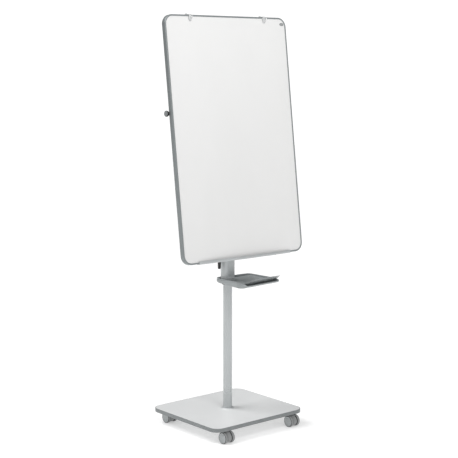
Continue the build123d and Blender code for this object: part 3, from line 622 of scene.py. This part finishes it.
# ------------------------------------------------------------------------------------------
# Tray
# ------------------------------------------------------------------------------------------
TRAY_POSE = Matrix.Rotation(math.radians(5.5), 4, "Z")      # the tray's swing at rest
TRAY_BACK = 34.0
TRAY_FRONT = -148.0
TRAY_SIDES = ((-58.0, -70.0), (172.0, 186.0))       # left and right: x at the back, x at the front
TRAY_CORNER_RADII = (44.0, 25.0, 14.0, 22.0)
TRAY_RIM = 666.0            # at the back left corner, in millimetres over the floor
TRAY_RIM_FALL_SIDEWAYS = 0.035      # millimetres per millimetre towards the right
TRAY_RIM_FALL_FORWARD = 0.025
TRAY_FRONT_WALL = 648.0
TRAY_UNDERSIDE = 651.0      # at the back
TRAY_UNDERSIDE_FALL = 10.5  # from the back to the front
DIP_DEPTH = 10              # how far behind the front wall the rim's dip starts
DIP_STEEPNESS = 8
DIP_FROM_LEFT = 20
DIP_EASE = 30
TRAY_FLOOR = 3.0
TRAY_STEP = 7.0
HUB_RADIUS = 28.0
HUB_BORE = 24.3
HUB_HEIGHTS = (643.0, 666.7)


def smooth_step(value):
    value = min(max(value, 0.0), 1.0)
    return value * value * (3 - 2 * value)


def rounded_outline(polygon, radii, corner_steps, side_steps):
    """A polygon's points with rounded corners and evenly divided sides."""
    arcs = []
    count = len(polygon)
    for index, radius in enumerate(radii):
        here = Vector(polygon[index])
        before = (Vector(polygon[index - 1]) - here).normalized()
        after = (Vector(polygon[(index + 1) % count]) - here).normalized()
        half = before.angle(after) / 2
        middle = here + (before + after).normalized() * radius / math.sin(half)
        start = here + before * radius / math.tan(half) - middle
        end = here + after * radius / math.tan(half) - middle
        turn = start.angle_signed(end)
        points = []
        for step in range(corner_steps + 1):
            angle = -turn * step / corner_steps
            c, d = math.cos(angle), math.sin(angle)
            points.append(middle + Vector((start.x * c - start.y * d, start.x * d + start.y * c)))
        arcs.append(points)
    outline = []
    for index, points in enumerate(arcs):
        outline += points
        after = arcs[(index + 1) % count][0]
        outline += [points[-1].lerp(after, step / side_steps) for step in range(1, side_steps)]
    return outline


def tray_side(side, y):
    back_x, front_x = TRAY_SIDES[side]
    return back_x + (front_x - back_x) * (TRAY_BACK - y) / (TRAY_BACK - TRAY_FRONT)


def tray_plan(inset):
    back, front = TRAY_BACK - inset, TRAY_FRONT + inset
    polygon = [(tray_side(0, back) + inset, back), (tray_side(1, back) - inset, back),
               (tray_side(1, front) - inset, front), (tray_side(0, front) + inset, front)]
    radii = [max(radius - inset, 1.0) for radius in TRAY_CORNER_RADII]
    return rounded_outline(polygon, radii, 10, 22)


def tray_underside(y):
    return TRAY_UNDERSIDE + (y - TRAY_BACK) * TRAY_UNDERSIDE_FALL / (TRAY_BACK - TRAY_FRONT)


def tray_top(x, y):
    """Height of the base's rim: a falling plane that dips to the low front wall."""
    rim = TRAY_RIM - TRAY_RIM_FALL_SIDEWAYS * (x - TRAY_SIDES[0][0]) - TRAY_RIM_FALL_FORWARD * (TRAY_BACK - y)
    from_left = x - TRAY_SIDES[0][1] - DIP_FROM_LEFT
    dip = smooth_step((TRAY_FRONT + DIP_DEPTH - y) / DIP_STEEPNESS) * smooth_step(from_left / DIP_EASE)
    return rim - dip * (rim - TRAY_FRONT_WALL)


def combine(obj, tool, operation):
    """Joins or cuts a piece with a helper shape, which is then thrown away."""
    modifier = obj.modifiers.new("combine", "BOOLEAN")
    modifier.operation = operation
    modifier.solver = "EXACT"
    modifier.object = tool
    settle(obj)
    bpy.data.objects.remove(tool)


def make_tray_base():
    """A shell with rounded lower edges, a high rim on three sides, and the hub."""
    tops = [tray_top(point.x, point.y) for point in tray_plan(0.0)]

    def loop(inset, from_under=None, from_top=None):
        points = []
        for point, top in zip(tray_plan(inset), tops):
            under = tray_underside(point.y)
            heights = [top + from_top] if from_top is not None else []
            heights += [under + from_under] if from_under is not None else []
            points.append(TRAY_POSE @ (Vector((point.x, point.y, min(heights))) * MM))
        return points

    bm = bmesh.new()
    bridge(bm, [loop(8.0, 0.0), loop(4.0, 0.7), loop(1.9, 2.2), loop(0.6, 4.5), loop(0.0, 7.5, -1.6),
                loop(0.0, None, -1.3), loop(0.4, None, -0.4), loop(1.3, None, 0.0), loop(6.4, None, 0.0),
                loop(6.85, None, -0.15), loop(7.0, None, -0.6), loop(TRAY_STEP, TRAY_FLOOR)])
    obj = object_from(bm, "tray_shell", [PALETTE["tray_plastic"]])
    low, high = HUB_HEIGHTS
    ring = [(0.0, low), (HUB_RADIUS - 0.6, low), (HUB_RADIUS, low + 0.6), (HUB_RADIUS, high - 0.6),
            (HUB_RADIUS - 0.6, high), (0.0, high)]
    for name, profile, operation in (("hub", ring, "UNION"),
                                     ("bore", [(0.0, low - 5), (HUB_BORE, low - 5), (HUB_BORE, high + 5),
                                               (0.0, high + 5)], "DIFFERENCE")):
        bm = bmesh.new()
        bridge(bm, lathe(profile, (0, 0, 0), (0, 0, 1)), close_ends=False)
        bmesh.ops.remove_doubles(bm, verts=bm.verts, dist=1e-6)
        combine(obj, object_from(bm, name, [PALETTE["tray_plastic"]]), operation)
    shade(obj.data)
    place_piece(obj, "tray", "tray_plastic", "tray_base")


# ------------------------------------------------------------------------------------------
# Knob of the tilt lock
# ------------------------------------------------------------------------------------------
KNOB_RIBS = 18
CAP_FACE_LOOPS = 7         # loops of the cap that are grey, the rest is black


def make_knob():
    """A ribbed grip with its neck, and a domed cap."""
    low, high = corners("tilt_knob")
    axis = (low.x, TILT_AXIS.y, TILT_AXIS.z)
    length = (high.x - low.x) / MM
    bore = size("tilt_shaft").y / 2 / MM + GLUE_GAP
    profile = [(bore, 4.5), (bore, length), (8.0, length), (8.0, 5.2), (8.6, 4.6), (11.6, 4.5), (12.3, 4.2),
               (12.5, 3.6), (12.5, 0.5), (12.0, 0.0), (0.3, 0.0), (0.3, 4.4)]

    def ribs(index, angle):
        grip = 6 <= index <= 9
        return 1.0 - 0.045 * (0.5 - 0.5 * math.cos(KNOB_RIBS * angle)) if grip else 1.0

    bm = bmesh.new()
    bridge(bm, lathe(profile, axis, (1, 0, 0), KNOB_RIBS * 8, ribs), closed_across=True)
    place_piece(object_from(bm, "ribbed_knob", [PALETTE["black_plastic"]]), "tilt_lock", "black_plastic",
                "tilt_knob")

    cap_low, cap_high = corners("tilt_knob_cap")
    thickness = (cap_high.x - cap_low.x) / MM
    dome = [(0.0, 0.9), (6.0, 0.75), (9.0, 0.35), (10.2, 0.0)]
    dome += [(a, 2.8 - b) for a, b in arc(10.2, 0, 2.8, 90, 0, 6)]
    dome += [(13.0, thickness - 0.4), (12.6, thickness), (0.0, thickness)]
    bm = bmesh.new()
    bridge(bm, lathe(dome, (cap_low.x, TILT_AXIS.y, TILT_AXIS.z), (1, 0, 0)),
           paint=lambda index: 0 if index < CAP_FACE_LOOPS else 1)
    obj = object_from(bm, "domed_cap", [PALETTE["edge_plastic"], PALETTE["black_plastic"]])
    place_piece(obj, "tilt_lock", "edge_plastic", "tilt_knob_cap")


# ------------------------------------------------------------------------------------------
# Screws, by Geometry Nodes
# ------------------------------------------------------------------------------------------
def screw_mesh():
    """One pan-head screw of 1 mm head radius: head on +Z, six-lobed recess, shank on -Z."""
    profile = [(0.02, 0.16), (0.30, 0.18), (0.34, 0.22), (0.36, 0.50), (0.55, 0.50), (0.80, 0.43),
               (0.95, 0.30), (1.0, 0.14), (1.0, 0.02), (0.98, 0.0), (0.5, 0.0), (0.5, -1.15), (0.42, -1.25)]

    def lobes(index, angle):
        return 1.0 + 0.16 * math.cos(6 * angle) if 1 <= index <= 3 else 1.0

    bm = bmesh.new()
    bridge(bm, [[point / MM for point in loop] for loop in lathe(profile, (0, 0, 0), (0, 0, 1), 36, lobes)])
    bmesh.ops.recalc_face_normals(bm, faces=bm.faces)
    mesh = bpy.data.meshes.new("screw")
    bm.to_mesh(mesh)
    bm.free()
    shade(mesh)
    return mesh


def screw_tree():
    """Geometry nodes that set a screw on every point, turned along its way attribute."""
    tree = bpy.data.node_groups.new("set_screws", "GeometryNodeTree")
    tree.interface.new_socket("Geometry", in_out="INPUT", socket_type="NodeSocketGeometry")
    tree.interface.new_socket("Screw", in_out="INPUT", socket_type="NodeSocketObject")
    tree.interface.new_socket("Head radius", in_out="INPUT", socket_type="NodeSocketFloat")
    tree.interface.new_socket("Metal", in_out="INPUT", socket_type="NodeSocketMaterial")
    tree.interface.new_socket("Geometry", in_out="OUTPUT", socket_type="NodeSocketGeometry")
    node = tree.nodes.new
    entry, leave = node("NodeGroupInput"), node("NodeGroupOutput")
    info, spread = node("GeometryNodeObjectInfo"), node("GeometryNodeInstanceOnPoints")
    way, turn = node("GeometryNodeInputNamedAttribute"), node("FunctionNodeAlignRotationToVector")
    realize, paint = node("GeometryNodeRealizeInstances"), node("GeometryNodeSetMaterial")
    way.data_type = "FLOAT_VECTOR"
    way.inputs["Name"].default_value = "way"
    turn.axis = "Z"
    links = (
        (entry.outputs["Geometry"], spread.inputs["Points"]),
        (entry.outputs["Screw"], info.inputs["Object"]),
        (info.outputs["Geometry"], spread.inputs["Instance"]),
        (way.outputs["Attribute"], turn.inputs["Vector"]),
        (turn.outputs["Rotation"], spread.inputs["Rotation"]),
        (entry.outputs["Head radius"], spread.inputs["Scale"]),
        (spread.outputs["Instances"], realize.inputs["Geometry"]),
        (realize.outputs["Geometry"], paint.inputs["Geometry"]),
        (entry.outputs["Metal"], paint.inputs["Material"]),
        (paint.outputs["Geometry"], leave.inputs["Geometry"]),
    )
    for a, b in links:
        tree.links.new(a, b)
    return tree


def set_input(modifier, tree, name, value):
    """Sets a modifier's input by its socket's identifier."""
    for item in tree.interface.items_tree:
        if item.item_type == "SOCKET" and item.in_out == "INPUT" and item.name == name:
            modifier[item.identifier] = value


def shells(node):
    """The separate solids of a CAD node, as lists of points."""
    bm = bmesh.new()
    bm.from_mesh(frame["nodes"][node].data)
    bmesh.ops.remove_doubles(bm, verts=bm.verts, dist=2e-6)
    seen, groups = set(), []
    for first in bm.verts:
        if first in seen:
            continue
        seen.add(first)
        stack, group = [first], []
        while stack:
            vert = stack.pop()
            group.append(vert.co.copy())
            for edge in vert.link_edges:
                other = edge.other_vert(vert)
                if other not in seen:
                    seen.add(other)
                    stack.append(other)
        groups.append(group)
    bm.free()
    return groups


def make_screws(node, body, head_radius, choose_way, head_height):
    """Screws where the CAD node has them; choose_way gives the direction that a head faces."""
    places, ways = [], []
    for group in shells(node):
        middle = sum(group, Vector()) / len(group)
        way = choose_way(middle)
        outer = max(point.dot(way) for point in group)
        rim = [point for point in group if point.dot(way) > outer - 0.3 * MM]
        face = sum(rim, Vector()) / len(rim)
        places.append(face - way * head_height * MM)
        ways.append(way)
    mesh = bpy.data.meshes.new(node + "_places")
    mesh.from_pydata(places, [], [])
    attribute = mesh.attributes.new("way", "FLOAT_VECTOR", "POINT")
    for item, way in zip(attribute.data, ways):
        item.vector = way
    obj = bpy.data.objects.new(node + "_set", mesh)
    bpy.context.collection.objects.link(obj)
    modifier = obj.modifiers.new("screws", "NODES")
    modifier.node_group = SCREW_TREE
    set_input(modifier, SCREW_TREE, "Screw", SCREW)
    set_input(modifier, SCREW_TREE, "Head radius", head_radius * MM)
    set_input(modifier, SCREW_TREE, "Metal", PALETTE["zinc_steel"])
    settle(obj)
    place_piece(obj, body, "zinc_steel", node)


TYRE = tyre_rubber()
HOOD = moulded_plastic("castor_hood", 0.25, 0.36)
COLLAR = powder_coat("foot_collar_paint", 0.66, 0.42)
SCREW = bpy.data.objects.new("screw_pattern", screw_mesh())
bpy.context.collection.objects.link(SCREW)
SCREW_TREE = screw_tree()

BOARD_BACKWARDS = (BOARD_POSE.to_3x3() @ Vector((0, 1, 0))).normalized()
BOARD_DOWNWARDS = (BOARD_POSE.to_3x3() @ Vector((0, 0, -1))).normalized()


def board_screw_way(middle):
    """Screws of the ledge face down, the others face the board's back."""
    under_ledge = middle.z < corners("pen_ledge")[1].z
    return BOARD_DOWNWARDS if under_ledge else BOARD_BACKWARDS


for castor_name in CASTORS:
    make_castor(castor_name)
make_base_board()
make_foot_ring()
make_board_frame()
make_pen_ledge()
make_badge()
make_knob()

SCREW_HEAD = 2.0            # height of a head over its seat
for screws, body_name, radius, way_of in (
        ("board_screws", "board", 4.0, board_screw_way),
        ("head_screws", "carriage", 4.0, lambda middle: Vector((0, 1, 0))),
        ("tray_screws", "tray", 4.0, lambda middle: Vector((0, 0, 1))),
        ("foot_spreader_screws", "base", 5.0, lambda middle: Vector((0, 0, -1)))):
    make_screws(screws, body_name, radius, way_of, SCREW_HEAD)
bpy.data.objects.remove(SCREW)

make_tray_base()

# CAD shapes that only need their edges rounded: node, body, finish, radius, steps of the round if not 3
for softened in (
        ("tray_dish", "tray", "tray_plastic", 0.7),
        ("mouth_bush", "carriage", "bearing_plastic", 0.6),
        ("clamp_lever", "clamp", "black_plastic", 1.6, 4),
        ("clamp_washer", "carriage", "zinc_steel", 0.3),
        ("tilt_head", "carriage", "cast_aluminium", 0.8),
        ("pivot_block", "board", "cast_aluminium", 0.8),
        ("shaft_support", "board", "cast_aluminium", 0.8),
        ("shaft_nut", "carriage", "zinc_steel", 0.5),
        ("hook_left", "left_hook", "clear_plastic", 0.6),
        ("hook_right", "right_hook", "clear_plastic", 0.6),
        ("foot_bolt", "base", "zinc_steel", 0.5),
        ("foot_washer", "base", "zinc_steel", 0.4),
        ("foot_spreader_plate", "base", "zinc_steel", 0.6)):
    soften(*softened)


# ------------------------------------------------------------------------------------------
# Stage, lights, camera
# ------------------------------------------------------------------------------------------
def make_floor():
    mesh = bpy.data.meshes.new("floor")
    reach = 14.0
    mesh.from_pydata([(-reach, -reach, 0), (reach, -reach, 0), (reach, reach, 0), (-reach, reach, 0)],
                     [], [(0, 1, 2, 3)])
    floor = bpy.data.objects.new("floor", mesh)
    bpy.context.collection.objects.link(floor)
    material = bpy.data.materials.new("floor")
    material.use_nodes = True
    shader = material.node_tree.nodes["Principled BSDF"]
    shader.inputs["Base Color"].default_value = (0.7, 0.7, 0.7, 1)
    shader.inputs["Roughness"].default_value = 0.9
    shader.inputs["Specular IOR Level"].default_value = 0.0
    shader.inputs["Emission Color"].default_value = (1, 1, 1, 1)
    shader.inputs["Emission Strength"].default_value = 0.36
    mesh.materials.append(material)


def make_world(dim, bright, backdrop, towards):
    """Soft surround light, brighter on one side, in front of a white backdrop."""
    world = bpy.data.worlds.new("studio")
    world.use_nodes = True
    tree = world.node_tree
    tree.nodes["Background"].inputs["Color"].default_value = (1, 1, 1, 1)
    where = tree.nodes.new("ShaderNodeTexCoord")
    side = tree.nodes.new("ShaderNodeVectorMath")
    side.operation = "DOT_PRODUCT"
    side.inputs[1].default_value = Vector(towards).normalized()
    level = tree.nodes.new("ShaderNodeMapRange")
    level.inputs["From Min"].default_value = -1.0
    level.inputs["To Min"].default_value = dim
    level.inputs["To Max"].default_value = bright
    path = tree.nodes.new("ShaderNodeLightPath")
    seen = tree.nodes.new("ShaderNodeMix")
    seen.inputs["B"].default_value = backdrop
    for a, b in ((where.outputs["Generated"], side.inputs[0]),
                 (side.outputs["Value"], level.inputs["Value"]),
                 (level.outputs["Result"], seen.inputs["A"]),
                 (path.outputs["Is Camera Ray"], seen.inputs["Factor"]),
                 (seen.outputs["Result"], tree.nodes["Background"].inputs["Strength"])):
        tree.links.new(a, b)
    bpy.context.scene.world = world


def make_sun(towards, strength, softness):
    light = bpy.data.lights.new("soft_key", "SUN")
    light.energy = strength
    light.angle = math.radians(softness)
    lamp = bpy.data.objects.new("soft_key", light)
    lamp.rotation_euler = Vector(towards).to_track_quat("Z", "Y").to_euler()
    bpy.context.collection.objects.link(lamp)


def make_area_light(place, target, width, power):
    light = bpy.data.lights.new("soft_front", "AREA")
    light.shape = "DISK"
    light.size = width
    light.energy = power
    lamp = bpy.data.objects.new("soft_front", light)
    lamp.location = place
    lamp.rotation_euler = (Vector(place) - Vector(target)).to_track_quat("Z", "Y").to_euler()
    bpy.context.collection.objects.link(lamp)


def make_camera():
    data = bpy.data.cameras.new("camera")
    data.sensor_width = 36.0
    data.lens = 94.147
    camera = bpy.data.objects.new("camera", data)
    camera.location = (-3.36677, -4.02096, 1.59375)
    camera.rotation_euler = (math.radians(82.2897), 0.0, math.radians(-40.0056))
    bpy.context.collection.objects.link(camera)
    bpy.context.scene.camera = camera


make_floor()
make_world(0.0, 0.72, 1.1, (-0.25, -0.85, 0.35))
make_sun((-0.42, 0.35, 0.84), 2.0, 40)
make_area_light((-0.4, -1.9, 2.9), (0, 0, 1.6), 1.2, 25)
make_camera()
bpy.context.scene.view_settings.view_transform = "Standard"
